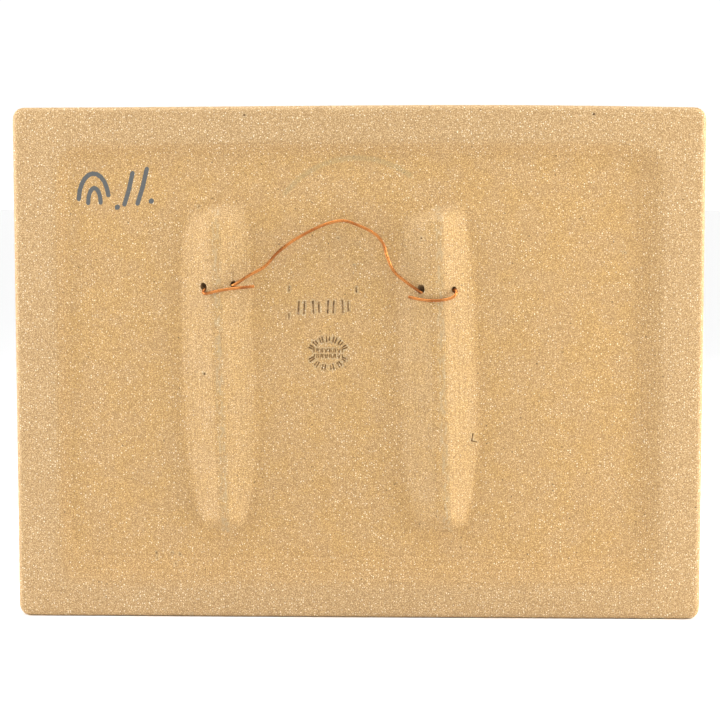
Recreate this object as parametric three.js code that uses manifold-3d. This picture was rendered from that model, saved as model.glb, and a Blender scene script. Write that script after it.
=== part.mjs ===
// A stoneware wall plaque with a copper hanging wire, in millimetres.
//
// The plaque is modelled lying on its decorated face: x runs to the right and y to the top, as seen from
// behind, and z is the height above the floor of the hollow in the back. The last lines hang it up: the
// decorated face then looks along -Y, the back along +Y, +Z is up, and the origin is the point under the
// crown of the wire where a nail or a hook bears.
import * as THREE from "three";
import { mergeVertices } from "three/addons/utils/BufferGeometryUtils.js";
import Module from "manifold-3d";

const wasm = await Module();
wasm.setup();

// Driving dimensions.
const WIDTH = 330;
const HEIGHT = 246;
const THICKNESS = 21; // at the rim
const CORNER = 5.5; // radius of the slab's four corners
const TOP_BOW = 1.2; // rise of the top edge at mid width
const BACK_EDGE = 3.5; // rounding of the edge round the back
const FRONT_EDGE = 5; // rounding of the edge round the decorated face

// The shallow hollow in the back: where its floor ends, and the lip where it meets the flat rim.
const HOLLOW_DEPTH = 3;
const HOLLOW_FLOOR = { left: -138, right: 137, bottom: -90, top: 100, corner: 11 };
const HOLLOW_LIP = { left: -146, right: 149, bottom: -109, top: 108, corner: 15 };

// The two ribs that carry the wire, both drawn by hand, stand higher than the rim. A rib's crest is a flat
// strip, and the flanks fall away from it on both sides. crest and reach give values at the bottom, the
// middle and the top.
const RIB_HEIGHT = 5;
const CREST_HALF = 2.7;
const FLANK_CURVE = 1.6; // 1 is a straight flank, and more makes it hollow towards the foot
const RIBS = [
  {
    bottom: -82,
    top: 76.8,
    topSlant: 2.2, // how much higher the top is at the right foot than at mid width
    crest: [-64, -67.7, -68.4],
    leftReach: [14.4, 18.4, 14],
    rightReach: [9.6, 19.6, 15.4],
  },
  {
    bottom: -81.5,
    top: 76.3,
    topSlant: 3.3,
    crest: [42, 39.2, 37],
    leftReach: [19.5, 20, 16.3],
    rightReach: [11.6, 20.2, 14.3],
  },
];
const REACH_POWER = 4; // a high power keeps a flank wide until it is near the rib's end
const RIB_END = 5; // length of the slope at each end of a rib
const RIB_ROOT = 2; // how far a rib reaches into the slab under it
const RIB_CELLS = 18;
const CREST_SHARE = 1 / 3; // the share of a rib's cells that make its flat crest

// The wire, from its left free end: over the left rib, back through it, up and over as the arch, through
// the right rib and back over that to the right free end.
const WIRE_RADIUS = 0.7;
const WIRE_SIDES = 8;
const WIRE_STEPS = 96;
const LEFT_END = [
  [-51, 37.9, 3.9], [-57, 37.4, 5.1], [-62, 37, 5.95], [-66.6, 36.4, 6.15], [-70, 35.7, 6.15],
  [-72.6, 35.4, 5.9], [-74, 35.9, 5.3], [-74.5, 37.3, 4.3],
];
const LEFT_BORE = [
  [-74.1, 38, 3], [-72.4, 38.1, 1.7], [-70.2, 38.2, 1.1], [-67.5, 38.4, 1], [-64.8, 38.7, 1.1],
  [-62.6, 39, 1.6], [-61, 39.4, 2.5],
];
const ARCH = [
  [-59.2, 40.3, 3.4], [-52, 44.4, 4.1], [-45, 48.6, 4], [-38.5, 55.7, 3.8], [-30.8, 62, 3.6],
  [-20.6, 67.3, 3.5], [-13, 69.8, 3.4], [-7, 70.5, 3.4], [-1.8, 69.6, 3.4], [8.2, 64.3, 3.5],
  [12.2, 59.6, 3.6], [14.2, 53.3, 3.8], [17.4, 46.5, 3.9], [22.6, 41.9, 4], [29, 37.2, 3.3],
];
const CROWN = ARCH[7];
const RIGHT_BORE = [
  [30.6, 36, 2.5], [32.2, 35.5, 1.6], [34.6, 35.3, 1.1], [38.2, 35.4, 1], [41.8, 35.7, 1.1],
  [44.2, 36, 1.6], [45.8, 36.4, 2.5],
];
const RIGHT_END = [
  [47.2, 36.4, 3.6], [47.7, 35.3, 4.7], [46.9, 33.8, 5.4], [44.6, 32.5, 5.95], [41, 31.8, 6.15],
  [35.7, 31.4, 6.1], [29.9, 31.9, 5.3], [24.4, 33.1, 4.4],
];

// The bores dip under the crests. They are wider than the wire and lie a little higher.
const BORE_RADIUS = 1.6;
const BORE_SIDES = 10;
const BORE_STEPS = 16;
const BORE_RISE = 0.3;
const BORE_MOUTH = 4; // how far a bore's tool runs on, out of the flank

// The decorated face: a flat border, and in the sunk field a leafy sprig in low relief.
const FIELD_DEPTH = 3;
const FIELD_BORDER = 21;
const FIELD_SLOPE = 6;
const FIELD_CORNER = 12;
const FIELD_FLOOR_CORNER = 9;
const STEM = [[-124, -34], [-46, -34], [34, 26], [86, 22]];
const STEM_RADIUS = 2.6;
const STEM_SIDES = 8;
const STEM_STEPS = 20;
const LEAF_PAIRS = 5;
const LEAF_STALKS = [0.12, 0.88]; // where the first and the last pair stand along the stem
const TOP_LEAF_STALK = 0.97;
const LEAF_LENGTH = [62, 46]; // from the first pair to the last
const LEAF_WIDTH = [23, 18];
const LEAF_HEIGHT = 2.6;
const LEAF_ANGLE = THREE.MathUtils.degToRad(48);
const LEAF_BELLY = 0.85; // under 1 puts a leaf's widest place nearer to its stalk
const SWELL_AT = 0.4; // where a leaf is highest, from 0 at its midrib to 1 at its edge
const MIDRIB_SINK = 0.32; // the share of the height that is lost at the midrib
const LEAF_ROOT = 1;
const LEAF_TIP = 0.5; // half the width that a leaf keeps at its two points
const LEAF_CELLS = [6, 8];

const FRONT_Z = HOLLOW_DEPTH - THICKNESS;
const FIELD_Z = FRONT_Z + FIELD_DEPTH;
const OUTLINE_DIVISIONS = 6;
const EDGE_STEPS = 4;
const SLOPE_STEPS = 5;
const SHARPEST_CORNER = 0.5;
const SAME_POINT = 1e-6;
const CLEAR = 1; // how far a cutting tool stands out of what it cuts

const { lerp, smoothstep } = THREE.MathUtils;

const vectors = (points) => points.map(([x, y, z = 0]) => new THREE.Vector3(x, y, z));

// A closed mesh as a solid that can be joined and cut.
function solid(geometry) {
  const bare = geometry.clone();
  bare.deleteAttribute("normal");
  bare.deleteAttribute("uv");
  const merged = mergeVertices(bare);
  return new wasm.Manifold(
    new wasm.Mesh({
      numProp: 3,
      vertProperties: new Float32Array(merged.getAttribute("position").array),
      triVerts: new Uint32Array(merged.index.array),
    }),
  );
}

function geometryOf(manifold) {
  const { vertProperties, triVerts } = manifold.getMesh();
  const geometry = new THREE.BufferGeometry();
  geometry.setAttribute("position", new THREE.BufferAttribute(vertProperties, 3));
  geometry.setIndex(new THREE.BufferAttribute(triVerts, 1));
  geometry.computeVertexNormals();
  return geometry;
}

// A closed solid through a stack of level rings, from the lowest up. All rings have as many points.
function loft(rings) {
  const count = rings[0].points.length;
  const positions = rings.flatMap(({ points, z }) => points.flatMap((p) => [p.x, p.y, z]));
  const index = [];
  for (let ring = 0; ring + 1 < rings.length; ring++) {
    for (let i = 0; i < count; i++) {
      const here = ring * count + i;
      const next = ring * count + ((i + 1) % count);
      index.push(here, next, next + count, here, next + count, here + count);
    }
  }
  const top = (rings.length - 1) * count;
  for (const [a, b, c] of THREE.ShapeUtils.triangulateShape(rings[0].points, [])) index.push(c, b, a);
  for (const [a, b, c] of THREE.ShapeUtils.triangulateShape(rings.at(-1).points, [])) {
    index.push(top + a, top + b, top + c);
  }
  const geometry = new THREE.BufferGeometry();
  geometry.setAttribute("position", new THREE.Float32BufferAttribute(positions, 3));
  geometry.setIndex(index);
  return solid(geometry);
}

// A rectangle with round corners, anticlockwise, with its top edge bowed up.
function rectangle({ left, right, bottom, top, corner }, bow = 0) {
  const shape = new THREE.Shape();
  shape.absarc(right - corner, bottom + corner, corner, -Math.PI / 2, 0);
  shape.absarc(right - corner, top - corner, corner, 0, Math.PI / 2);
  shape.quadraticCurveTo((left + right) / 2, top + 2 * bow, left + corner, top);
  shape.absarc(left + corner, top - corner, corner, Math.PI / 2, Math.PI);
  shape.absarc(left + corner, bottom + corner, corner, Math.PI, 1.5 * Math.PI);
  const points = shape.getPoints(OUTLINE_DIVISIONS);
  if (points[0].distanceTo(points.at(-1)) < SAME_POINT) points.pop();
  return points;
}

function slabOutline(inset) {
  const x = WIDTH / 2 - inset;
  const y = HEIGHT / 2 - inset;
  const corner = Math.max(CORNER - inset, SHARPEST_CORNER);
  return rectangle({ left: -x, right: x, bottom: -y, top: y, corner }, TOP_BOW);
}

function slab() {
  const turns = Array.from({ length: EDGE_STEPS + 1 }, (_, step) => ((step / EDGE_STEPS) * Math.PI) / 2);
  const front = turns.map((turn) => ({
    points: slabOutline(FRONT_EDGE * (1 - Math.sin(turn))),
    z: FRONT_Z + FRONT_EDGE * (1 - Math.cos(turn)),
  }));
  const back = turns.map((turn) => ({
    points: slabOutline(BACK_EDGE * (1 - Math.cos(turn))),
    z: HOLLOW_DEPTH - BACK_EDGE * (1 - Math.sin(turn)),
  }));
  return loft([...front, ...back]);
}

// A shallow tray-shaped tool between two rectangles, with an S-shaped slope from its flat floor to its lip.
// direction is 1 for a tray that opens upwards and -1 for one that opens downwards.
function tray(floor, lip, floorZ, depth, direction) {
  const rings = [];
  for (let step = 0; step <= SLOPE_STEPS; step++) {
    const share = step / SLOPE_STEPS;
    const sides = Object.keys(floor).map((side) => [side, lerp(floor[side], lip[side], share)]);
    rings.push({ points: rectangle(Object.fromEntries(sides)), z: floorZ + direction * depth * smoothstep(share, 0, 1) });
  }
  rings.push({ points: rectangle(lip), z: floorZ + direction * (depth + CLEAR) });
  return loft(direction > 0 ? rings : rings.reverse());
}

const backHollow = () => tray(HOLLOW_FLOOR, HOLLOW_LIP, 0, HOLLOW_DEPTH, 1);

function frontField() {
  const inside = (border, corner) => ({
    left: border - WIDTH / 2,
    right: WIDTH / 2 - border,
    bottom: border - HEIGHT / 2,
    top: HEIGHT / 2 - border,
    corner,
  });
  const floor = inside(FIELD_BORDER + FIELD_SLOPE, FIELD_FLOOR_CORNER);
  return tray(floor, inside(FIELD_BORDER, FIELD_CORNER), FIELD_Z, FIELD_DEPTH, -1);
}

// A box of cells whose points are moved by place(across, along, up): across and along run from -1 to 1,
// and up is 0 underneath and 1 on top.
function shapedBox(cellsAcross, cellsAlong, place) {
  const box = new THREE.BoxGeometry(2, 2, 1, cellsAcross, cellsAlong, 1);
  const points = box.getAttribute("position");
  for (let i = 0; i < points.count; i++) {
    points.setXYZ(i, ...place(points.getX(i), points.getY(i), points.getZ(i) + 0.5));
  }
  return solid(box);
}

// The value part of the way up a rib, from -1 to 1, for a list of its bottom, middle and top values.
function along(values, way, power) {
  const [bottom, middle, top] = values;
  return lerp(middle, way < 0 ? bottom : top, Math.abs(way) ** power);
}

// The first third of the cells out from the middle are the flat crest and the others are the flank, and
// the last cell at each end is the slope down to the floor.
function rib({ bottom, top, topSlant, crest, leftReach, rightReach }) {
  const endCell = 2 / RIB_CELLS;
  return shapedBox(RIB_CELLS, RIB_CELLS, (across, way, up) => {
    const ending = Math.abs(way) > 1 - endCell / 2;
    const share = ending ? (Math.sign(way) + 1) / 2 : (way / (1 - endCell) + 1) / 2;
    const inset = ending ? 0 : RIB_END;
    const y = lerp(bottom + inset, top + topSlant * across - inset, share);
    const height = (2 * (y - bottom)) / (top - bottom) - 1;
    const reach = along(across < 0 ? leftReach : rightReach, height, REACH_POWER);
    const out = Math.abs(across);
    const flank = Math.max(out - CREST_SHARE, 0) / (1 - CREST_SHARE);
    const offset = Math.min(out / CREST_SHARE, 1) * CREST_HALF + flank * (reach - CREST_HALF);
    const x = along(crest, height, 1) + Math.sign(across) * offset;
    return [x, y, up === 0 ? -RIB_ROOT : ending ? 0 : RIB_HEIGHT * (1 - flank) ** FLANK_CURVE];
  });
}

// A round bar along a smooth line through the points.
function bar(points, radius, sides, steps) {
  const section = new THREE.Shape();
  for (let side = 0; side < sides; side++) {
    const turn = (2 * Math.PI * side) / sides;
    section[side ? "lineTo" : "moveTo"](radius * Math.cos(turn), radius * Math.sin(turn));
  }
  section.closePath();
  const extrudePath = new THREE.CatmullRomCurve3(vectors(points), false, "centripetal");
  return solid(new THREE.ExtrudeGeometry(section, { steps, extrudePath, bevelEnabled: false }));
}

// The tool for a bore: along the wire's way through the rib, and straight on out of both flanks.
function bore(inside) {
  const line = vectors(inside);
  const run = (from, to) => to.clone().add(to.clone().sub(from).setLength(BORE_MOUTH));
  const route = [run(line[1], line[0]), ...line, run(line.at(-2), line.at(-1))];
  return bar(route.map((p) => [p.x, p.y + BORE_RISE, p.z]), BORE_RADIUS, BORE_SIDES, BORE_STEPS);
}

// A leaf that points along the angle from its stalk, with a swelling on each side of a sunk midrib.
function leaf(stalk, angle, length, width) {
  const along = new THREE.Vector2(Math.cos(angle), Math.sin(angle));
  return shapedBox(...LEAF_CELLS, (across, way, up) => {
    const share = (way + 1) / 2;
    const fullness = Math.sin(Math.PI * share ** LEAF_BELLY);
    const half = Math.max((width / 2) * fullness, LEAF_TIP);
    const x = stalk.x + along.x * length * share + along.y * across * half;
    const y = stalk.y + along.y * length * share - along.x * across * half;
    const off = Math.abs(across) - SWELL_AT;
    const swell = 1 - (off > 0 ? (off / (1 - SWELL_AT)) ** 2 : MIDRIB_SINK * (off / SWELL_AT) ** 2);
    const height = LEAF_HEIGHT * swell * Math.sqrt(fullness);
    return [x, y, up > 0 ? FIELD_Z + LEAF_ROOT : FIELD_Z - Math.max(height, 0)];
  });
}

function sprig() {
  const stem = new THREE.CubicBezierCurve3(...vectors(STEM.map(([x, y]) => [x, y, FIELD_Z])));
  const route = stem.getPoints(STEM_STEPS).map((p) => p.toArray());
  const pieces = [bar(route, STEM_RADIUS, STEM_SIDES, STEM_STEPS)];
  for (let pair = 0; pair < LEAF_PAIRS; pair++) {
    const share = pair / (LEAF_PAIRS - 1);
    const stalk = stem.getPoint(lerp(...LEAF_STALKS, share));
    const heading = stem.getTangent(lerp(...LEAF_STALKS, share));
    const angle = Math.atan2(heading.y, heading.x);
    for (const side of [-1, 1]) {
      const turn = angle + side * LEAF_ANGLE;
      pieces.push(leaf(stalk, turn, lerp(...LEAF_LENGTH, share), lerp(...LEAF_WIDTH, share)));
    }
  }
  const tip = stem.getTangent(1);
  pieces.push(leaf(stem.getPoint(TOP_LEAF_STALK), Math.atan2(tip.y, tip.x), LEAF_LENGTH[1], LEAF_WIDTH[1]));
  return pieces;
}

function plaque() {
  let body = slab().subtract(backHollow()).subtract(frontField());
  for (const piece of [...RIBS.map(rib), ...sprig()]) body = body.add(piece);
  for (const inside of [LEFT_BORE, RIGHT_BORE]) body = body.subtract(bore(inside));
  return body;
}

const wire = () =>
  bar([...LEFT_END, ...LEFT_BORE, ...ARCH, ...RIGHT_BORE, ...RIGHT_END], WIRE_RADIUS, WIRE_SIDES, WIRE_STEPS);

const stoneware = new THREE.MeshStandardMaterial({ color: 0xd8b17b, roughness: 0.62, metalness: 0 });
const copper = new THREE.MeshStandardMaterial({ color: 0xc8723c, roughness: 0.35, metalness: 1 });

function mesh(name, manifold, material) {
  const made = new THREE.Mesh(geometryOf(manifold), material);
  made.name = name;
  return made;
}

// The pieces on the bench, moved so that the point under the wire's crown is the origin.
const bench = new THREE.Group();
bench.add(mesh("plaque", plaque(), stoneware), mesh("hanging_wire", wire(), copper));
bench.position.set(-CROWN[0], WIRE_RADIUS - CROWN[1], -CROWN[2]);

// The bench's x, y and z become the part's -X, +Z and +Y.
const hung = new THREE.Group();
hung.add(bench);
const axes = vectors([[-1, 0, 0], [0, 0, 1], [0, 1, 0]]);
hung.rotation.setFromRotationMatrix(new THREE.Matrix4().makeBasis(...axes));

export default hung;
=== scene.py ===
"""A stoneware wall plaque with a copper hanging wire, seen from the back as it stands in a light tent.

The plaque is shaped on a bench, lying on its decorated face, in millimetres: u runs to the right and v to the
top as seen from behind, and h is the height above the floor of the hollow in the back. HANG then carries each
finished mesh to its place.
"""

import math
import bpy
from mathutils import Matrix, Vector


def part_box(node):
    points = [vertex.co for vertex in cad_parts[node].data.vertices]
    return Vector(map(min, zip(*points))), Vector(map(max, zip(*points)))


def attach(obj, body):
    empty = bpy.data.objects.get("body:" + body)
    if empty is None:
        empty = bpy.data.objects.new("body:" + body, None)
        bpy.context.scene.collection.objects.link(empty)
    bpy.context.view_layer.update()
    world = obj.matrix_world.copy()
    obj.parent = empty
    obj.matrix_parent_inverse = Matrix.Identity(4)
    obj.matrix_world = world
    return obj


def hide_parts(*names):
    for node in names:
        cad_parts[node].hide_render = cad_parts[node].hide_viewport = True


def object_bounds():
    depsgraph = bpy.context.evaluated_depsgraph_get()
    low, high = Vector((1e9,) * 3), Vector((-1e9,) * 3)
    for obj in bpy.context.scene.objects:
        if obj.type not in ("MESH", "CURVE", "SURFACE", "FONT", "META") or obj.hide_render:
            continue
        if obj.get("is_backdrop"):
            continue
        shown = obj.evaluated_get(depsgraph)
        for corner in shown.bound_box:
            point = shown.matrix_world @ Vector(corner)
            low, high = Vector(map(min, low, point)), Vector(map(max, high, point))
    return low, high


bl_info = {
    "name": "Stoneware Wall Plaque",
    "version": (1, 0, 0),
    "blender": (4, 5, 0),
    "location": "3D View > Sidebar > Plaque",
    "description": "Makes a stoneware wall plaque, its hanging wire and a studio round them",
    "category": "Add Mesh",
}

import bmesh
import bpy
from mathutils import Matrix, Vector, geometry, noise

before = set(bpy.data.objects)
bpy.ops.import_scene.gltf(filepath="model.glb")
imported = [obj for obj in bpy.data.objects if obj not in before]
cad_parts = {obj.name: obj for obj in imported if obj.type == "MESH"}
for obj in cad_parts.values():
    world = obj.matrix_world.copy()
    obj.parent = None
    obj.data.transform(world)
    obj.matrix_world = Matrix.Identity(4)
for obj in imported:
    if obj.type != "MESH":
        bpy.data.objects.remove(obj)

MM = 0.001
PLAQUE_LOW, PLAQUE_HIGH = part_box("plaque")

# The slab.
TOP_BOW = 1.2  # highest rise of the top edge
BOW_LEAN = 1.6  # above 1, the rise is highest on the right
WIDTH = (PLAQUE_HIGH.x - PLAQUE_LOW.x) / MM
HEIGHT = (PLAQUE_HIGH.z - PLAQUE_LOW.z) / MM - TOP_BOW
CORNER = 5.5
BACK_EDGE = 2.4  # rounding of the edge round the back
FRONT_EDGE = 5  # rounding of the edge round the decorated face

# The hollow in the back, as left, right, bottom, top and corner radius.
HOLLOW_DEPTH = 3
HOLLOW_FLOOR = (-137, 131, -90, 99, 11)
HOLLOW_LIP = (-146, 147, -109, 106.5, 15)

# The ribs. crest and the reaches of the flanks are given at the bottom, the middle and the top.
RIB_RISE = 5
FLANK_CURVE = 1.15
RIBS = (
    {
        "bottom": -82,
        "top": 76.8,
        "slant": 2.2,
        "crest": (-64.3, -67, -68.4),
        "crest_half": 2.1,
        "reaches": ((9.5, 18.6, 13.5), (8.5, 18.2, 15)),
    },
    {
        "bottom": -81.5,
        "top": 76.3,
        "slant": 3.3,
        "crest": (41.6, 38.9, 36.8),
        "crest_half": 3,
        "reaches": ((13, 20.6, 15.5), (9, 18.8, 13.5)),
    },
)
REACH_POWER = 3.3
RIB_END = 9
RIDGE = 30.0  # the value of the ridge attribute on the right-hand edge of a crest

# The wire, from its left free end over the left rib, back through it, up as the arch, and the same again.
WIRE_RADIUS = 0.74
WIRE_SIDES = 16
LEFT_END = (
    (-49.6, 37.9, 3.9), (-55.6, 37.4, 5.1), (-60.6, 36.9, 5.92), (-65.2, 36.2, 6.11),
    (-68.8, 35.4, 6.11), (-71.6, 34.7, 5.9), (-73.3, 34.5, 5.2), (-74, 35.2, 4.3),
)
LEFT_BORE = (
    (-73.5, 36.3, 3), (-72.6, 36.9, 1.9), (-70.6, 37.4, 1.1), (-67.2, 37.8, 1),
    (-63.8, 38, 1.1), (-61.3, 38.2, 1.7), (-59.9, 38.4, 2.6),
)
ARCH = (
    (-58.2, 39.2, 3.5), (-51.6, 43.4, 4.1), (-44.6, 47.4, 4), (-38.2, 54.2, 3.8), (-30.5, 60, 3.6),
    (-20.6, 65.4, 3.5), (-13, 68.4, 3.4), (-7, 69.3, 3.4), (-1.6, 67.8, 3.4), (8, 63.1, 3.5),
    (12, 58.4, 3.6), (14, 52.1, 3.8), (17.2, 45.3, 3.9), (22.5, 40.5, 4), (29.4, 35.7, 3.4),
)
RIGHT_BORE = (
    (31.1, 34.8, 2.5), (32.1, 34.6, 1.7), (34.4, 34.8, 1.1), (38, 35, 1),
    (42, 35.5, 1.1), (44.5, 35.9, 1.7), (45.8, 36.2, 2.7),
)
RIGHT_END = (
    (46.7, 36.3, 3.7), (47, 35.2, 4.7), (46.3, 33.8, 5.4), (44.3, 32.6, 5.92),
    (41, 31.8, 6.11), (35.7, 31.4, 6.06), (29.9, 31.9, 5.3), (24.1, 33.1, 4.4),
)
BORE_RADIUS = 1.35
BORE_FLARE = 0.4  # how much wider a bore is at its mouths
BORE_TALLNESS = 1.45
BORE_SIDES = 18
BORE_TAPER = 0.72  # how wide a bore is at its last mouth, as a share of its first
# Each bore's wire, and the rise of the bore's middle over that wire at each mouth.
BORES = ((LEFT_BORE, 1.5, 0.5), (RIGHT_BORE, 1.4, 0.2))
BORE_MOUTH = 4
BORE_ROUGHNESS = 0.14
BORE_SEED = 7  # noise_vector takes its offsets from the clock unless it is seeded

# The decorated face: a border, a sunk field, and a leafy sprig in it.
FRONT_H = RIB_RISE - (PLAQUE_HIGH.y - PLAQUE_LOW.y) / MM
FIELD_DEPTH = 3
FIELD_BORDER = 21
FIELD_SLOPE = 6
FIELD_CORNER = 12
STEM = ((-124, -34), (-46, -34), (34, 26), (86, 22))
STEM_RADIUS = 2.6
LEAF_PAIRS = 5
LEAF_LENGTH = (62, 46)
LEAF_WIDTH = (23, 18)
LEAF_HEIGHT = 2.6
LEAF_ANGLE = math.radians(48)

# The mesh of a face: cells across and up, and how much closer they lie at the edges than in the middle.
CELLS = (160, 120)
CROWDING = 0.45
EDGE_RINGS = 6
SIDE_ROWS = 7

# The grain of the clay: the size of its cells, how dark their borders are and how pale their middles.
GRAINS = ((0.68, 0.45, 0.8), (0.41, 0.5, 0.4))
GRAIN_SPREAD = 0.85  # how unevenly the grains are placed
COARSE_GRAIN = 1.1
IRON_GRAIN = 4.0
FILM_OFFSET = 1.6  # how far the middle of a crest's grey film lies to the left of the ridge

HANG = Matrix(
    (
        (-MM, 0, 0, (PLAQUE_LOW.x + PLAQUE_HIGH.x) / 2),
        (0, 0, MM, PLAQUE_HIGH.y - RIB_RISE * MM),
        (0, MM, 0, PLAQUE_LOW.z + HEIGHT / 2 * MM),
        (0, 0, 0, 1),
    )
)


# ---------------------------------------------------------------------------------------------- shapes


def clamp(value, low=0.0, high=1.0):
    return min(max(value, low), high)


def lerp(a, b, share):
    return a + (b - a) * share


def smooth(share):
    share = clamp(share)
    return share * share * (3 - 2 * share)


def rounded_box(u, v, left, right, bottom, top, corner):
    """How far a point is outside a rectangle with round corners; inside it is negative."""
    du = abs(u - (left + right) / 2) - (right - left) / 2 + corner
    dv = abs(v - (bottom + top) / 2) - (top - bottom) / 2 + corner
    return math.hypot(max(du, 0), max(dv, 0)) + min(max(du, dv), 0) - corner


def tray_share(u, v, floor, lip):
    """0 on the floor of a shallow tray and 1 beyond its lip."""
    outside = rounded_box(u, v, *floor)
    inside = rounded_box(u, v, *lip)
    return clamp(outside / (outside - inside))


def along(values, way, power):
    """The value part of the way up a rib, from -1 to 1, for its bottom, middle and top values."""
    bottom, middle, top = values
    return lerp(middle, bottom if way < 0 else top, abs(way) ** power)


def off_crest(u, v, rib):
    """How far a point lies to the right of a rib's crest line, and how far up the rib it is, from -1 to 1."""
    way = clamp(2 * (v - rib["bottom"]) / (rib["top"] - rib["bottom"]) - 1, -1, 1)
    return u - along(rib["crest"], way, 1), way


def rib_share(u, v, rib):
    """0 off the rib and 1 on its crest, the share of its height its ends leave, and how far in from the foot."""
    off, way = off_crest(u, v, rib)
    reach = along(rib["reaches"][off > 0], way, REACH_POWER)
    inside = reach - abs(off)
    end = min(v - rib["bottom"], rib["top"] + rib["slant"] * clamp(off / reach, -1, 1) - v)
    return clamp(inside / (reach - rib["crest_half"])), smooth(end / RIB_END), min(inside, end)


def ridge(u, v, rib):
    """RIDGE and how far a point lies to the right of the right-hand edge of a rib's crest; 0 off the rib."""
    off, way = off_crest(u, v, rib)
    return RIDGE + off - rib["crest_half"] if abs(off) < 20 and abs(way) < 1 else 0.0


def wobble(u, v, size, seed=0.0):
    """A smooth random value from -1 to 1 that changes over about size millimetres."""
    return noise.noise(Vector((u / size, v / size, seed)))


def back_height(u, v, sizes):
    height = HOLLOW_DEPTH * smooth(tray_share(u, v, HOLLOW_FLOOR, HOLLOW_LIP))
    for rib in RIBS:
        flank, end, _ = rib_share(u, v, rib)
        height += sizes.rib_height / MM * flank**FLANK_CURVE * end
    sag = 0.5 + 0.3 * wobble(u, v, 38, 3.1) + 0.2 * wobble(u, v, 9, 7.7)
    return height - sizes.unevenness / MM * sag


# --------------------------------------------------------------------------------------------- the sprig


def stem_point(share):
    a, b, c, d = (Vector(p) for p in STEM)
    rest = 1 - share
    return a * rest**3 + b * 3 * rest * rest * share + c * 3 * rest * share * share + d * share**3


def leaves():
    """Each leaf of the sprig as its stalk, its direction, its length and its width."""
    made = []
    for pair in range(LEAF_PAIRS):
        share = pair / (LEAF_PAIRS - 1)
        at = 0.12 + 0.76 * share
        stalk = stem_point(at)
        ahead = stem_point(at + 0.01) - stalk
        heading = math.atan2(ahead.y, ahead.x)
        for side in (-1, 1):
            angle = heading + side * LEAF_ANGLE
            made.append((stalk, angle, lerp(*LEAF_LENGTH, share), lerp(*LEAF_WIDTH, share)))
    tip = stem_point(0.97)
    ahead = stem_point(1) - tip
    made.append((tip, math.atan2(ahead.y, ahead.x), LEAF_LENGTH[1], LEAF_WIDTH[1]))
    return made


LEAVES = leaves()
STEM_LINE = [stem_point(step / 40) for step in range(41)]


def leaf_height(u, v, leaf):
    """The height of one leaf at a point, with its sunk midrib and its side veins."""
    stalk, angle, length, width = leaf
    from_stalk = Vector((u, v)) - stalk
    if from_stalk.length > length + 2:
        return 0.0
    way = (from_stalk.x * math.cos(angle) + from_stalk.y * math.sin(angle)) / length
    if not 0 < way < 1:
        return 0.0
    fullness = math.sin(math.pi * way**0.85)
    half = max(width / 2 * fullness, 0.5)
    off = abs(from_stalk.x * math.sin(angle) - from_stalk.y * math.cos(angle)) / half
    if off >= 1:
        return 0.0
    swell = 1 - (off - 0.4) ** 2 * (2.78 if off > 0.4 else 2)
    vein = smooth(1 - abs(((way * 7 - off * half / width * 3) % 1) - 0.5) / 0.22) * 0.12 * smooth(off * 3)
    return LEAF_HEIGHT * max(swell - vein, 0) * math.sqrt(fullness)


def sprig_height(u, v):
    """The height of the sprig above the field."""
    height = max(leaf_height(u, v, leaf) for leaf in LEAVES)
    point = Vector((u, v))
    for a, b in zip(STEM_LINE, STEM_LINE[1:]):
        _, share = geometry.intersect_point_line(point, a, b)
        off = (point - a.lerp(b, clamp(share))).length
        if off < STEM_RADIUS:
            height = max(height, math.sqrt(STEM_RADIUS**2 - off**2))
    return height


def front_depth(u, v):
    """How deep the decorated face lies under its border, with the sprig standing up again from the field."""
    across, up = WIDTH / 2 - FIELD_BORDER, HEIGHT / 2 - FIELD_BORDER
    floor = (FIELD_SLOPE - across, across - FIELD_SLOPE, FIELD_SLOPE - up, up - FIELD_SLOPE, FIELD_CORNER - 3)
    field = smooth(1 - tray_share(u, v, floor, (-across, across, -up, up, FIELD_CORNER)))
    return field, sprig_height(u, v) if field == 1 else 0.0


# ------------------------------------------------------------------------------- marks on the back


def stroke(u, v, length, angle, width):
    """A straight mark round a middle point."""
    half = Vector((math.cos(angle), math.sin(angle))) * length / 2
    middle = Vector((u, v))
    return middle - half, middle + half, width


def bent(points, width):
    """A mark through several points."""
    return [(Vector(a), Vector(b), width) for a, b in zip(points, points[1:])]


def arc(u, v, across, up, first, last, steps=10):
    """Points on part of an ellipse, with its angles in degrees."""
    angles = [math.radians(lerp(first, last, step / steps)) for step in range(steps + 1)]
    return [(u + across * math.cos(angle), v + up * math.sin(angle)) for angle in angles]


UPRIGHT = math.pi / 2
FAR = 3.0  # marks are felt no further than this
STAMP = (-14.5, 5.5)
PITS = (
    (-54, 118.7, 0.9), (111.6, 118.9, 0.9), (-97.8, -92.1, 0.8), (-97.7, -94.6, 0.4), (-88.5, -97.2, 0.7),
    (-90.5, -92.1, 0.6), (-86.5, -92.6, 0.7), (-80.9, -121.6, 1.0), (-73.6, -4.3, 0.9), (-9.6, 60.5, 0.5),
    (-1.9, 47.5, 0.4), (-76.2, 75.6, 0.5), (30.4, 60.6, 0.7), (127, 54, 0.5),
)
NICK = ((55.2, -33.2), (54.6, -36.6), (57, -37.2))


def tally_marks():
    """A row of impressed strokes in pairs, with a short tick at three of its corners."""
    marks = []
    for place in range(4):
        u = -28.6 + 7.05 * place
        v = 27.3 + 0.25 * place
        lean = 0.12 * (place % 2) - 0.06
        marks.append(stroke(u, v, 5.6, UPRIGHT + lean, 0.85))
        marks.append(stroke(u + 2.7, v, 5.6 - 1.3 * (place % 2), UPRIGHT + lean, 0.8))
    marks += [stroke(u, v, 2.0, UPRIGHT, 0.6) for u, v in ((-33.1, 36.4), (-0.9, 35.9), (-33.2, 23.4))]
    return marks


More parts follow.
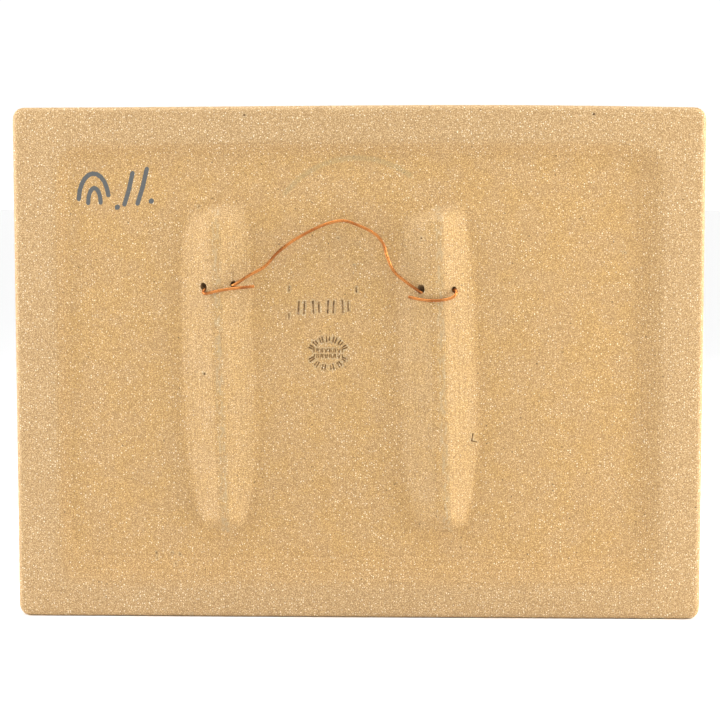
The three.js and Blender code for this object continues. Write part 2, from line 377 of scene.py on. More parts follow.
def stamp_marks():
    """An oval of short strokes that point to its middle, round two rows of tiny ones."""
    marks = []
    for first, last, count in ((24, 156, 7), (-156, -24, 6)):
        for place in range(count):
            for side in (-1, 1):
                angle = math.radians(lerp(first, last, place / (count - 1)) + 4.2 * side)
                outward = Vector((math.cos(angle) * 8.6, math.sin(angle) * 6.9))
                facing = math.atan2(outward.y / 6.9**2, outward.x / 8.6**2)
                length = 2.3 if side > 0 else 2.3 - 0.7 * (place % 2)
                marks.append(stroke(STAMP[0] + outward.x, STAMP[1] + outward.y, length, facing, 0.62))
    for rise in (-1.35, 1.35):
        for place in range(14):
            u = STAMP[0] + 1.02 * (place - 6.5) + 0.25 * (place % 2)
            marks.append(stroke(u, STAMP[1] + rise, 1.5, UPRIGHT + 0.2 * (place % 3 - 1), 0.4))
    return marks


def painted_marks():
    """Brush strokes: two hills, one in the other, and two slanting strokes, each pair with a dot."""
    marks = bent(arc(-126.6, 78.5, 7.2, 13, 12, 176), 2.1)
    marks += bent(arc(-126.3, 77.4, 3.0, 7.2, 2, 180), 2.0)
    marks += bent(((-111.9, 76.8), (-109.6, 84), (-107.9, 91.6)), 2.1)
    marks += bent(((-105.6, 77.2), (-103.2, 84.6), (-101, 93.6)), 2.1)
    marks += bent(((-115.4, 75.3), (-115.2, 75.5)), 2.4)
    marks += bent(((-99.1, 78.2), (-98.9, 78.4)), 2.4)
    return marks


def ash_marks():
    """The top of a faint grey ring that something round left in the kiln."""
    return bent(arc(-0.8, 55.1, 43.3, 43.3, 54, 142, 24), 2.2)


def pits():
    """The little burnt-out pits, and a nick in the shape of an L beside the right rib."""
    marks = [stroke(u, v, 0.2, place, width) for place, (u, v, width) in enumerate(PITS)]
    return marks + bent(NICK, 0.5)


def off_marks(u, v, marks):
    """How far a point is from the nearest mark's edge; in a mark it is negative."""
    nearest = FAR
    for a, b, width in marks:
        step = b - a
        from_a = Vector((u, v)) - a
        share = clamp(from_a.dot(step) / step.length_squared)
        nearest = min(nearest, (from_a - step * share).length - width / 2)
    return nearest


# -------------------------------------------------------------------------------------- mesh building


def crowd(share):
    """Moves -1 to 1 onto itself so that even steps lie closer at the ends."""
    return (1 - CROWDING) * share + CROWDING * (1.5 * share - 0.5 * share**3)


def outward(u, v):
    """The direction straight out of the slab's outline at a point near it."""
    core_u = WIDTH / 2 - CORNER
    core_v = HEIGHT / 2 - CORNER
    off = Vector((u - clamp(u, -core_u, core_u), v - clamp(v, -core_v, core_v), 0))
    return off.normalized()


def flat_face(bm):
    """A grid that fills the slab's outline up to BACK_EDGE from it, with the outline's round corners."""
    bmesh.ops.create_grid(bm, x_segments=CELLS[0], y_segments=CELLS[1], size=1)
    half = Vector((WIDTH / 2 - BACK_EDGE, HEIGHT / 2 - BACK_EDGE, 0))
    core = Vector((WIDTH / 2 - CORNER, HEIGHT / 2 - CORNER, 0))
    for vert in bm.verts:
        point = Vector((crowd(vert.co.x) * half.x, crowd(vert.co.y) * half.y, 0))
        inner = Vector((clamp(point.x, -core.x, core.x), clamp(point.y, -core.y, core.y), 0))
        off = point - inner
        if off.x and off.y:
            off *= max(abs(off.x), abs(off.y)) / off.length
        vert.co = inner + off


def refine(bm, wanted, cuts):
    """Cuts the faces finer whose middles are wanted."""
    faces = [face for face in bm.faces if wanted(*face.calc_center_median().xy)]
    edges = dict.fromkeys(edge for face in faces for edge in face.edges)
    bmesh.ops.subdivide_edges(bm, edges=list(edges), cuts=cuts, use_grid_fill=True, use_single_edge=True)


def within(left, right, bottom, top):
    return lambda u, v: left < u < right and bottom < v < top


def rounded_edge(bm, radius, height, down):
    """Rolls the rim of a flat face over, ring by ring, until it stands straight."""
    start = math.asin(1 - BACK_EDGE / radius)
    for ring in range(1, EDGE_RINGS + 1):
        turn = lerp(start, math.pi / 2, ring / EDGE_RINGS)
        before = lerp(start, math.pi / 2, (ring - 1) / EDGE_RINGS)
        rim = [edge for edge in bm.edges if edge.is_boundary]
        made = bmesh.ops.extrude_edge_only(bm, edges=rim)["geom"]
        for vert in (item for item in made if isinstance(item, bmesh.types.BMVert)):
            vert.co += outward(*vert.co.xy) * radius * (math.sin(turn) - math.sin(before))
            vert.co.z = height - down * radius * (1 - math.cos(turn))


def back_face(bm, sizes):
    flat_face(bm)
    areas = [
        ((-26.5, -2.5, -5.5, 16.5), 9, "pressed", stamp_marks()),
        ((-36, 1.5, 20.5, 39), 7, "pressed", tally_marks()),
        ((-138, -95, 72, 98), 3, "painted", painted_marks()),
        ((-38, 28, 78, 101), 1, "ashen", ash_marks()),
    ]
    for a, b, width in pits():
        left, right = sorted((a.x, b.x))
        bottom, top = sorted((a.y, b.y))
        areas.append(((left - 1.6, right + 1.6, bottom - 1.6, top + 1.6), 4, "pressed", [(a, b, width)]))
    for window, cuts, _, _ in areas:
        refine(bm, within(*window), cuts)
    refine(bm, within(-91, -43, -87, 83), 1)
    refine(bm, within(15, 65, -87, 83), 1)
    names = ("pressed", "painted", "ashen", "crest", "hollow", "ridge", "fold")
    layers = {name: bm.verts.layers.float.new(name) for name in names}
    for vert in bm.verts:
        u, v = vert.co.xy
        for window, _, name, marks in areas:
            if within(*window)(u, v):
                vert[layers[name]] = max(vert[layers[name]], FAR - off_marks(u, v, marks))
        shares = [rib_share(u, v, rib) for rib in RIBS]
        wall = tray_share(u, v, HOLLOW_FLOOR, HOLLOW_LIP)
        # The feet of the ribs and the middle of the hollow's wall go into the fold attribute, which the material
        # darkens as painted shade.
        feet = [smooth(1 - abs(inside + 1.5) / 4.5) for _, _, inside in shares]
        vert[layers["crest"]] = max(min(flank, end) for flank, end, _ in shares)
        vert[layers["ridge"]] = max(ridge(u, v, rib) for rib in RIBS)
        vert[layers["fold"]] = max(*feet, 4 * wall * (1 - wall))
        vert[layers["hollow"]] = 1 - wall
        depth = sizes.mark_depth / MM * smooth(0.5 - (FAR - vert[layers["pressed"]]) / 0.3)
        vert.co.z = back_height(u, v, sizes) - depth
    rounded_edge(bm, BACK_EDGE, HOLLOW_DEPTH - sizes.unevenness / MM / 2, 1)


def front_face(bm, sizes):
    flat_face(bm)
    refine(bm, lambda u, v: front_depth(u, v)[1] > 0, 1)
    field = bm.verts.layers.float.new("field")
    relief = bm.verts.layers.float.new("relief")
    for vert in bm.verts:
        u, v = vert.co.xy
        sunk, raised = front_depth(u, v)
        vert[field] = sunk
        vert[relief] = raised
        reach = max(FRONT_EDGE + rounded_box(u, v, -WIDTH / 2, WIDTH / 2, -HEIGHT / 2, HEIGHT / 2, CORNER), 0)
        drop = FRONT_EDGE - math.sqrt(FRONT_EDGE**2 - reach**2)
        sag = 0.5 + 0.3 * wobble(u, v, 30, 9.1) + 0.2 * wobble(u, v, 8, 1.7)
        vert.co.z = FRONT_H + FIELD_DEPTH * sunk - raised + drop + sizes.unevenness / MM * sag
    rounded_edge(bm, FRONT_EDGE, FRONT_H + sizes.unevenness / MM / 2, -1)


def slab_mesh(sizes):
    """The whole slab: its two faces, and a side of several rows between them."""
    bm = bmesh.new()
    back_face(bm, sizes)
    front = bmesh.new()
    front_face(front, sizes)
    bmesh.ops.reverse_faces(front, faces=front.faces)
    carried = bpy.data.meshes.new("front")
    front.to_mesh(carried)
    front.free()
    for name in ("field", "relief"):
        bm.verts.layers.float.new(name)
    bm.from_mesh(carried)
    bpy.data.meshes.remove(carried)
    rim = [edge for edge in bm.edges if edge.is_boundary]
    side = bmesh.ops.bridge_loops(bm, edges=rim)["edges"]
    bmesh.ops.subdivide_edges(bm, edges=side, cuts=SIDE_ROWS, use_grid_fill=True)
    roughen(bm, sizes)
    for vert in bm.verts:
        u, v = vert.co.xy
        rise = math.sin(math.pi * clamp(u / WIDTH + 0.5) ** BOW_LEAN)
        vert.co.y += TOP_BOW * clamp(2 * v / HEIGHT) ** 2 * rise
    bmesh.ops.recalc_face_normals(bm, faces=bm.faces)
    return bm


def roughen(bm, sizes):
    """Makes the outer edge slightly sandy, inwards only."""
    for vert in bm.verts:
        u, v, _ = vert.co
        if rounded_box(u, v, -WIDTH / 2, WIDTH / 2, -HEIGHT / 2, HEIGHT / 2, CORNER) > -BACK_EDGE:
            grain = 0.5 + 0.5 * noise.noise(vert.co / 1.6)
            vert.co -= outward(u, v) * sizes.edge_roughness / MM * grain


def smooth_line(points, step):
    """Points about every step millimetres on a smooth line through the given ones."""
    knots = [Vector(point) for point in points]
    tangents = []
    for index, knot in enumerate(knots):
        before = knots[max(index - 1, 0)]
        after = knots[min(index + 1, len(knots) - 1)]
        tangents.append((after - before) / ((after - knot).length + (knot - before).length))
    line = [knots[0]]
    for a, b, out, into in zip(knots, knots[1:], tangents, tangents[1:]):
        third = (b - a).length / 3
        count = max(round((b - a).length / step), 1) + 1
        line += geometry.interpolate_bezier(a, a + out * third, b - into * third, b, count)[1:]
    return line


def sweep(bm, line, radii, sides, tallness=1.0):
    """A closed round bar along a line: a disc that is extruded from point to point."""
    ways = [(b - a).normalized() for a, b in zip(line, line[1:])]
    facing = [ways[0], *((a + b).normalized() for a, b in zip(ways, ways[1:])), ways[-1]]
    start = Matrix.Translation(line[0]) @ facing[0].to_track_quat("Z", "Y").to_matrix().to_4x4()
    start @= Matrix.Scale(tallness, 4, (1, 0, 0))
    disc = bmesh.ops.create_circle(bm, cap_ends=True, segments=sides, radius=radii[0], matrix=start)
    end = disc["verts"][0].link_faces[0]
    for index in range(1, len(line)):
        made = bmesh.ops.extrude_face_region(bm, geom=[end, *end.edges])["geom"]
        end = next(item for item in made if isinstance(item, bmesh.types.BMFace))
        turn = facing[index - 1].rotation_difference(facing[index]).to_matrix().to_4x4()
        scale = Matrix.Scale(radii[index] / radii[index - 1], 4)
        place = Matrix.Translation(line[index]) @ turn @ scale @ Matrix.Translation(-line[index - 1])
        bmesh.ops.transform(bm, matrix=place, verts=list(end.verts))
    bmesh.ops.recalc_face_normals(bm, faces=bm.faces)


def bore_line(inside, rise, last_rise):
    """The way of a bore: beside the wire inside the rib, and straight on out of both flanks."""
    points = []
    for index, point in enumerate(inside):
        points.append(Vector(point) + Vector((0, lerp(rise, last_rise, index / (len(inside) - 1)), 0)))
    first = points[0] + (points[0] - points[1]).normalized() * BORE_MOUTH
    last = points[-1] + (points[-1] - points[-2]).normalized() * BORE_MOUTH
    return smooth_line([first, *points, last], 0.8)


def bore_tools():
    noise.seed_set(BORE_SEED)
    bm = bmesh.new()
    for bore in BORES:
        tool = bmesh.new()
        line = bore_line(*bore)
        count = len(line) - 1
        flares = [BORE_RADIUS + BORE_FLARE * abs(2 * step / count - 1) ** 3 for step in range(count + 1)]
        radii = [radius * lerp(1, BORE_TAPER, smooth(step / count)) for step, radius in enumerate(flares)]
        sweep(tool, line, radii, BORE_SIDES, BORE_TALLNESS)
        # The bore walls are given a mark value, so the material paints shade into the bores.
        bore_shade = tool.verts.layers.float.new("pressed")
        for vert in tool.verts:
            vert[bore_shade] = FAR + 1
            vert.co += BORE_ROUGHNESS * noise.noise_vector(vert.co / 1.3)
        made = bpy.data.meshes.new("bore")
        tool.to_mesh(made)
        tool.free()
        bm.from_mesh(made)
        bpy.data.meshes.remove(made)
    return bm


def wire_mesh():
    bm = bmesh.new()
    line = smooth_line([*LEFT_END, *LEFT_BORE, *ARCH, *RIGHT_BORE, *RIGHT_END], 0.7)
    snips = [line[0].lerp(line[1], 0.25)], [line[-1].lerp(line[-2], 0.25)]
    line = [line[0], *snips[0], *line[1:-1], *snips[1], line[-1]]
    radii = [WIRE_RADIUS * (0.985 + 0.015 * noise.noise(point / 2.2)) for point in line]
    radii[0] = radii[-1] = WIRE_RADIUS * 0.72
    sweep(bm, line, radii, WIRE_SIDES)
    return bm


def hang(bm, name):
    """Carries a finished mesh from the bench to its place and makes it a piece."""
    bmesh.ops.transform(bm, matrix=HANG, verts=bm.verts)
    for face in bm.faces:
        face.smooth = True
    mesh = bpy.data.meshes.new(name)
    bm.to_mesh(mesh)
    bm.free()
    piece = bpy.data.objects.new(name, mesh)
    bpy.context.scene.collection.objects.link(piece)
    return piece


def cut_out(piece, tool):
    """Cuts the tool out of the piece and throws the tool away."""
    cut = piece.modifiers.new("bores", "BOOLEAN")
    cut.operation = "DIFFERENCE"
    cut.solver = "MANIFOLD"
    cut.object = tool
    graph = bpy.context.evaluated_depsgraph_get()
    whole = piece.data
    piece.data = bpy.data.meshes.new_from_object(
        piece.evaluated_get(graph), preserve_all_data_layers=True, depsgraph=graph
    )
    piece.modifiers.clear()
    if len(piece.data.vertices) == len(whole.vertices):
        raise RuntimeError("nothing was cut out of " + piece.name)
    bpy.data.meshes.remove(whole)
    bpy.data.objects.remove(tool)


# ------------------------------------------------------------------------------------------ materials


class Nodes:
    """Adds nodes to a material, each with its sockets set or linked in one call."""

    def __init__(self, material):
        material.use_nodes = True
        self.tree = material.node_tree
        self.tree.nodes.clear()

    def add(self, kind, sockets=None, **settings):
        made = self.tree.nodes.new(kind)
        for name, value in settings.items():
            setattr(made, name, value)
        for name, value in (sockets or {}).items():
            if isinstance(value, bpy.types.NodeSocket):
                self.tree.links.new(value, made.inputs[name])
            else:
                made.inputs[name].default_value = value
        return made

    def maths(self, operation, *values):
        return self.add("ShaderNodeMath", dict(enumerate(values)), operation=operation).outputs[0]

    def between(self, value, low, high, out_low=0.0, out_high=1.0):
        """Smoothly maps a value from low..high to out_low..out_high, held at the ends."""
        sockets = {"Value": value, 1: low, 2: high, 3: out_low, 4: out_high}
        return self.add("ShaderNodeMapRange", sockets, interpolation_type="SMOOTHSTEP").outputs[0]

    def blend(self, share, a, b, how="MIX"):
        sockets = {0: share, 6: a, 7: b}
        return self.add("ShaderNodeMix", sockets, data_type="RGBA", blend_type=how).outputs[2]

    def attribute(self, name):
        return self.add("ShaderNodeAttribute", attribute_name=name).outputs["Fac"]

    def millimetres(self, stretch=(1, 1, 1)):
        place = self.add("ShaderNodeTexCoord").outputs["Object"]
        scale = [1 / MM * share for share in stretch]
        return self.add("ShaderNodeMapping", {"Vector": place, "Scale": scale}).outputs[0]

    def noise(self, vector, size, detail=2.0, roughness=0.5):
        sockets = {"Vector": vector, "Scale": 1 / size, "Detail": detail, "Roughness": roughness}
        return self.add("ShaderNodeTexNoise", sockets).outputs[0]

    def grains(self, vector, size):
        """Random grains: how far off the middle of the nearest one is, and a random value for each."""
        sockets = {"Vector": vector, "Scale": 1 / size, "Randomness": GRAIN_SPREAD}
        cells = self.add("ShaderNodeTexVoronoi", sockets)
        chance = self.add("ShaderNodeSeparateColor", {"Color": cells.outputs["Color"]}).outputs[0]
        return cells.outputs["Distance"], chance

    def surface(self, sockets):
        shader = self.add("ShaderNodeBsdfPrincipled", sockets)
        self.add("ShaderNodeOutputMaterial", {"Surface": shader.outputs[0]})


def rgba(colour):
    return (*colour, 1.0)


def stoneware(colours):
    """Speckled unglazed stoneware, with the slate brush marks behind and the glazes in front."""
    material = bpy.data.materials.new("speckled_stoneware")
    nodes = Nodes(material)
    place = nodes.millimetres()
    hollow = nodes.attribute("hollow")
    flank = nodes.attribute("crest")

    # The clay: broad warm clouds, paler on the rim, and a fine dark and light grain all over.
    clouds = nodes.between(nodes.noise(place, 11, 4), 0.38, 0.62)
    clay = nodes.blend(clouds, rgba(colours.clay), rgba(colours.clay_warm))
    clay = nodes.blend(nodes.maths("SUBTRACT", 1.0, hollow), clay, rgba(colours.clay_rim))

    # The flanks of the ribs were wiped along, which left long streaks and a paler skin; the pale skin is partly
    # the wiped slip and partly a painted highlight on the flanks that face the side lights.
    wiped_and_lit = nodes.maths("MULTIPLY", nodes.between(flank, 0.0, 0.3), nodes.between(flank, 1.0, 0.93))
    clay = nodes.blend(nodes.maths("MULTIPLY", wiped_and_lit, 0.3), clay, rgba(colours.slip))
    # Painted shade: a darker, more orange band in the concave feet of the ribs and along the sloping wall of the
    # hollow.
    clay = nodes.blend(nodes.maths("MULTIPLY", nodes.attribute("fold"), 0.4), clay, rgba(colours.fold_shade))
    streaks = nodes.between(nodes.noise(nodes.millimetres((1, 1, 0.05)), 1.3, 2), 0.35, 0.65, 0.1, 0.0)
    clay = nodes.blend(nodes.maths("MULTIPLY", wiped_and_lit, streaks), clay, rgba(colours.iron))

    # Grains of two sizes, dark where they meet, with cream grog in the middles of some: thicker in places,
    # and thinner on the wiped flanks.
    strength = nodes.between(nodes.noise(place, 16, 2), 0.36, 0.64, 0.65, 1.0)
    thinned = nodes.maths("SUBTRACT", 1.0, nodes.maths("MULTIPLY", wiped_and_lit, 0.4))
    strength = nodes.maths("MULTIPLY", strength, thinned)
    colour = clay
    for size, dark, pale in GRAINS:
        distance, chance = nodes.grains(place, size)
        colour = nodes.blend(nodes.between(distance, 0.3, 0.62, 0.0, dark), colour, rgba(colours.umber))
        middle = nodes.between(distance, 0.3, 0.12, 0.0, pale)
        grog = nodes.maths("MULTIPLY", middle, nodes.between(chance, 0.3, 1.0))
        colour = nodes.blend(nodes.maths("MULTIPLY", grog, strength), colour, rgba(colours.grog))

    distance, chance = nodes.grains(place, COARSE_GRAIN)
    coarse = nodes.between(distance, 0.3, 0.1)
    pale = nodes.maths("MULTIPLY", coarse, nodes.between(chance, 0.35, 0.9, 0.0, 0.9))
    colour = nodes.blend(nodes.maths("MULTIPLY", pale, strength), colour, rgba(colours.chalk))
    dark = nodes.maths("MULTIPLY", coarse, nodes.between(chance, 0.35, 0.0, 0.0, 0.8))
    colour = nodes.blend(dark, colour, rgba(colours.umber))

    # Specks of iron, far apart.
    distance, chance = nodes.grains(place, IRON_GRAIN)
    spot = nodes.maths("MULTIPLY", nodes.between(distance, 0.13, 0.07), nodes.between(chance, 0.8, 0.82))
    colour = nodes.blend(nodes.maths("MULTIPLY", spot, 0.7), colour, rgba(colours.iron))

    # The stamped strokes, the pits and the bores: painted shade inside them, and a pale film round them.
    off = nodes.maths("SUBTRACT", FAR, nodes.attribute("pressed"))
    halo = nodes.maths("MULTIPLY", nodes.between(off, 0.15, 0.35), nodes.between(off, 0.95, 0.6))
    halo = nodes.maths("MULTIPLY", halo, nodes.between(nodes.noise(place, 1.1, 2), 0.4, 0.6, 0.1, 0.55))
    colour = nodes.blend(halo, colour, rgba(colours.bloom))
    # Painted shade: the inside of every mark and bore is darkened, a little unevenly.
    recess_shade = nodes.between(nodes.noise(place, 2.2, 2), 0.38, 0.62, 0.45, 0.9)
    recess_shade = nodes.maths("MULTIPLY", nodes.between(off, 0.2, -0.15), recess_shade)
    colour = nodes.blend(recess_shade, colour, rgba(colours.recess_shade))

    # The grey film that rubbing left in patches along the crests.
    off = nodes.maths("ABSOLUTE", nodes.maths("SUBTRACT", nodes.attribute("ridge"), RIDGE - FILM_OFFSET))
    rubbed = nodes.between(nodes.noise(nodes.millimetres((1, 1, 0.3)), 1.4, 4), 0.42, 0.62, 0.0, 0.42)
    rubbed = nodes.maths("MULTIPLY", nodes.between(off, 2.9, 0.8), rubbed)
    colour = nodes.blend(rubbed, colour, rgba(colours.bloom))

    off = nodes.maths("SUBTRACT", FAR, nodes.attribute("ashen"))
    colour = nodes.blend(nodes.between(off, 0.7, -0.5, 0.0, 0.32), colour, rgba(colours.ash))

    off = nodes.maths("SUBTRACT", FAR, nodes.attribute("painted"))
    ragged = nodes.maths("ADD", off, nodes.maths("MULTIPLY", nodes.noise(place, 0.8), 0.3))
    colour = nodes.blend(nodes.between(ragged, 0.3, 0.05, 0.0, 0.93), colour, rgba(colours.slate))

    # The decorated face: glaze pooled in the sunk field, and honey glaze on the sprig.
    field = nodes.between(nodes.attribute("field"), 0.35, 0.6)
    relief = nodes.attribute("relief")
    pool = nodes.blend(nodes.noise(place, 9, 4), rgba(colours.glaze), rgba(colours.glaze_deep))
    honey = nodes.blend(nodes.between(relief, 2.6, 0.6), rgba(colours.honey), rgba(colours.iron))
    glaze = nodes.blend(nodes.between(relief, 0.15, 0.9), pool, honey)
    colour = nodes.blend(nodes.maths("MULTIPLY", field, 0.94), colour, glaze)

    rough = nodes.between(field, 0.0, 1.0, 0.62, 0.22)
    grit = nodes.maths("MULTIPLY", nodes.noise(place, 0.5), nodes.between(field, 0.0, 1.0, 1.0, 0.2))
    bump = nodes.add("ShaderNodeBump", {"Height": grit, "Strength": 0.5, "Distance": 0.1 * MM})
    nodes.surface(
        {"Base Color": colour, "Roughness": rough, "Normal": bump.outputs[0], "Specular IOR Level": 0.4}
    )
    return material


def copper(colours):
    """Drawn copper wire that has dulled, with darker patches here and there."""
    material = bpy.data.materials.new("copper_wire")
    nodes = Nodes(material)
    place = nodes.millimetres()
    dull = nodes.between(nodes.noise(place, 9, 2), 0.4, 0.7)
    colour = nodes.blend(dull, rgba(colours.copper), rgba(colours.copper_dull))
    rough = nodes.between(nodes.noise(place, 1.2, 3), 0.3, 0.7, 0.22, 0.4)
    bump = nodes.add(
        "ShaderNodeBump", {"Height": nodes.noise(place, 0.8, 3), "Strength": 0.25, "Distance": 0.08 * MM}
    )
    nodes.surface({"Base Color": colour, "Metallic": 1.0, "Roughness": rough, "Normal": bump.outputs[0]})
    return material


def plain(name, colour, roughness):
    material = bpy.data.materials.new(name)
    Nodes(material).surface({"Base Color": rgba(colour), "Roughness": roughness})
    return material


# ----------------------------------------------------------------------------------------- properties


def length(name, description, default):
    return bpy.props.FloatProperty(
        name=name, description=description, default=default, unit="LENGTH", precision=4
    )


def colour(name, description, default):
    return bpy.props.FloatVectorProperty(
        name=name, description=description, default=default, subtype="COLOR", size=3, min=0.0, max=1.0
    )


def turn(name, description, degrees):
    return bpy.props.FloatProperty(
        name=name, description=description, default=math.radians(degrees), unit="ROTATION"
    )


class PlaqueSizes(bpy.types.PropertyGroup):
    rib_height: length("Rib height", "How far the ribs stand up from the floor of the hollow", RIB_RISE * MM)
    mark_depth: length("Mark depth", "How deep the stamped strokes are pressed in", 0.45 * MM)
    unevenness: length("Unevenness", "How far the hand-finished faces dip below flat", 0.3 * MM)
    edge_roughness: length("Edge roughness", "How far the sandy outer edge is worn back", 0.25 * MM)


class PlaqueColours(bpy.types.PropertyGroup):
    clay: colour("Clay", "Body of the stoneware", (0.572, 0.373, 0.163))
    clay_warm: colour("Warm clay", "Body where the fire turned it yellower", (0.582, 0.37, 0.14))
    clay_rim: colour("Rim clay", "Body of the rim, which is paler", (0.559, 0.38, 0.183))
    # Painted shade in the concave feet of the ribs and along the hollow's wall.
    fold_shade: colour("Fold shade", "Body in the folds of the back, more orange", (0.546, 0.335, 0.121))
    # Paler skin of the rib flanks: partly wiped slip, partly a painted highlight on the lit flanks.
    slip: colour("Slip and highlight", "Skin of the flanks of the ribs, which were wiped smooth", (0.8, 0.56, 0.27))
    ash: colour("Ash", "The faint grey ring", (0.25, 0.212, 0.105))
    grog: colour("Grog", "Cream grains in the clay", (0.94, 0.82, 0.56))
    chalk: colour("Chalk", "The few coarse grains, which are paler", (0.97, 0.9, 0.7))
    umber: colour("Umber", "Between the grains of the clay", (0.15, 0.075, 0.018))
    iron: colour("Iron", "Dark specks", (0.07, 0.04, 0.017))
    # Painted shade inside the stamped marks, the pits and the bores.
    recess_shade: colour("Recess shade", "Painted shade in the stamped marks and the bores", (0.1, 0.05, 0.016))
    bloom: colour("Bloom", "Pale grey film on rubbed and pressed clay", (0.36, 0.3, 0.185))
    slate: colour("Slate", "Paint of the brush marks", (0.05, 0.066, 0.075))
    glaze: colour("Glaze", "Glaze of the sunk field", (0.05, 0.13, 0.20))
    glaze_deep: colour("Deep glaze", "Glaze where it has pooled", (0.02, 0.06, 0.11))
    honey: colour("Honey", "Glaze of the sprig", (0.42, 0.20, 0.06))
    copper: colour("Copper", "Wire where it is bright", (0.5, 0.2, 0.058))
    copper_dull: colour("Dull copper", "Wire where it is tarnished", (0.28, 0.098, 0.03))


def power(name, description, default):
    return bpy.props.FloatProperty(
        name=name, description=description, default=default, min=0.0, unit="POWER"
    )


class StudioSettings(bpy.types.PropertyGroup):
    distance: length("Camera distance", "From the camera to the plaque", 1.1)
    azimuth: turn("Azimuth", "Direction of the camera round the plaque", 181.6)
    elevation: turn("Elevation", "Angle of the camera above level", 5.6)
    lens: bpy.props.FloatProperty(name="Lens", description="Focal length in millimetres", default=115.2)
    tent: bpy.props.FloatProperty(name="Tent", description="Brightness of the tent", default=1.05, min=0.0)
    left_light: power("Left softbox", "Power of the softbox at the camera's left", 3.6)
    right_light: power("Right softbox", "Power of the softbox at the camera's right", 7.1)
    top_light: power("Top softbox", "Power of the softbox overhead", 1.4)
    front_light: power("Front softbox", "Power of the softbox before the decorated face", 4.0)
    paper: colour("Paper", "The floor that the plaque stands on", (0.9, 0.9, 0.9))


# ------------------------------------------------------------------------------------------ operators


def dress(piece, node, material):
    piece.data.materials.clear()
    piece.data.materials.append(material)
    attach(piece, "root")
    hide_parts(node)


class WALLPLAQUE_OT_slab(bpy.types.Operator):
    """Makes the stoneware plaque with its rim, ribs, bores, marks and relief"""

    bl_idname = "wall_plaque.slab"
    bl_label = "Plaque"

    def execute(self, context):
        scene = context.scene
        piece = hang(slab_mesh(scene.plaque_sizes), "stoneware_plaque")
        cut_out(piece, hang(bore_tools(), "bore_tools"))
        piece.data.set_sharp_from_angle(angle=math.radians(50))
        dress(piece, "plaque", stoneware(scene.plaque_colours))
        return {"FINISHED"}


class WALLPLAQUE_OT_wire(bpy.types.Operator):
    """Makes the bent copper wire that the plaque hangs by"""

    bl_idname = "wall_plaque.wire"
    bl_label = "Hanging wire"

    def execute(self, context):
        piece = hang(wire_mesh(), "copper_wire")
        dress(piece, "hanging_wire", copper(context.scene.plaque_colours))
        return {"FINISHED"}


def softbox(name, place, aim, size, power, colour=(1, 1, 1)):
    light = bpy.data.lights.new(name, "AREA")
    light.shape = "RECTANGLE"
    light.size, light.size_y = size
    light.energy = power
    light.color = colour
    box = bpy.data.objects.new(name, light)
    box.location = place
    box.rotation_euler = (Vector(aim) - Vector(place)).to_track_quat("-Z", "Y").to_euler()
    bpy.context.scene.collection.objects.link(box)


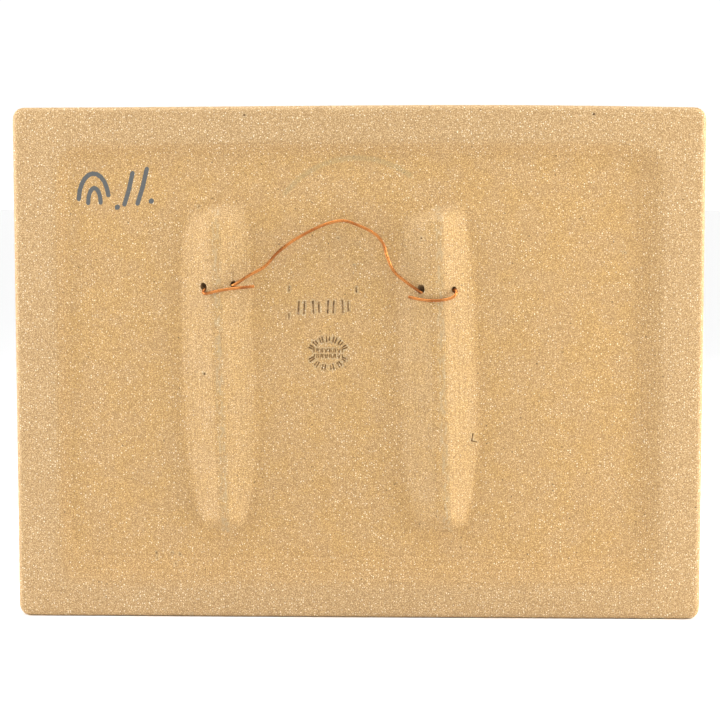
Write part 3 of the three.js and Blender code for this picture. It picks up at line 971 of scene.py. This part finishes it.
class WALLPLAQUE_OT_studio(bpy.types.Operator):
    """Makes the paper floor, the light tent, the softboxes and the camera"""

    bl_idname = "wall_plaque.studio"
    bl_label = "Studio"

    def execute(self, context):
        scene = context.scene
        studio = scene.plaque_studio
        low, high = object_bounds()
        middle = (low + high) / 2

        bm = bmesh.new()
        floor = Matrix.Translation((middle.x, middle.y, low.z))
        bmesh.ops.create_grid(bm, x_segments=1, y_segments=1, size=6, matrix=floor)
        mesh = bpy.data.meshes.new("paper_floor")
        bm.to_mesh(mesh)
        bm.free()
        paper = bpy.data.objects.new("paper_floor", mesh)
        mesh.materials.append(plain("paper", studio.paper, 0.5))
        scene.collection.objects.link(paper)
        paper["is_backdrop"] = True

        world = bpy.data.worlds.new("light_tent")
        world.use_nodes = True
        tent = world.node_tree.nodes["Background"]
        tent.inputs["Color"].default_value = (1, 1, 1, 1)
        tent.inputs["Strength"].default_value = studio.tent
        scene.world = world

        for name, place, size, energy, tint in (
            ("left_softbox", (0.5, 0.1, 0.02), (0.2, 0.6), studio.left_light, (0.98, 0.96, 0.97)),
            ("right_softbox", (-0.6, 0.11, 0.02), (0.2, 0.6), studio.right_light, (1.0, 0.96, 0.88)),
            ("top_softbox", (0, 0.06, 0.38), (0.5, 0.2), studio.top_light, (1.0, 1.0, 1.0)),
            ("front_softbox", (-0.6, -0.7, 0.5), (0.6, 0.6), studio.front_light, (1.0, 1.0, 1.0)),
        ):
            softbox(name, middle + Vector(place), middle, size, energy, tint)

        aim = middle + Vector((-1.1 * MM, 0, 2.4 * MM))
        aim.y = high.y
        level = math.cos(studio.elevation)
        way = Vector(
            (
                math.sin(studio.azimuth) * level,
                -math.cos(studio.azimuth) * level,
                math.sin(studio.elevation),
            )
        )
        camera = bpy.data.objects.new("camera", bpy.data.cameras.new("camera"))
        camera.data.lens = studio.lens
        camera.location = aim + way * studio.distance
        camera.rotation_euler = (-way).to_track_quat("-Z", "Y").to_euler()
        scene.collection.objects.link(camera)
        scene.camera = camera
        scene.view_settings.view_transform = "Standard"
        return {"FINISHED"}


class WALLPLAQUE_PT_panel(bpy.types.Panel):
    """Sizes, colours and parts of the wall plaque"""

    bl_label = "Wall Plaque"
    bl_space_type = "VIEW_3D"
    bl_region_type = "UI"
    bl_category = "Plaque"

    def draw(self, context):
        for group in GROUPS:
            values = getattr(context.scene, group)
            box = self.layout.box()
            for name in values.bl_rna.properties.keys():
                if name not in ("rna_type", "name"):
                    box.prop(values, name)
        for operator in OPERATORS:
            self.layout.operator(operator.bl_idname)


GROUPS = {"plaque_sizes": PlaqueSizes, "plaque_colours": PlaqueColours, "plaque_studio": StudioSettings}
OPERATORS = (WALLPLAQUE_OT_slab, WALLPLAQUE_OT_wire, WALLPLAQUE_OT_studio)


def register():
    for cls in (*GROUPS.values(), *OPERATORS, WALLPLAQUE_PT_panel):
        bpy.utils.register_class(cls)
    for name, group in GROUPS.items():
        setattr(bpy.types.Scene, name, bpy.props.PointerProperty(type=group))


def unregister():
    for name in GROUPS:
        delattr(bpy.types.Scene, name)
    for cls in (WALLPLAQUE_PT_panel, *OPERATORS, *GROUPS.values()):
        bpy.utils.unregister_class(cls)


def main():
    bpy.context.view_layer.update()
    register()
    bpy.ops.wall_plaque.slab()
    bpy.ops.wall_plaque.wire()
    bpy.ops.wall_plaque.studio()


if __name__ == "__main__":
    main()
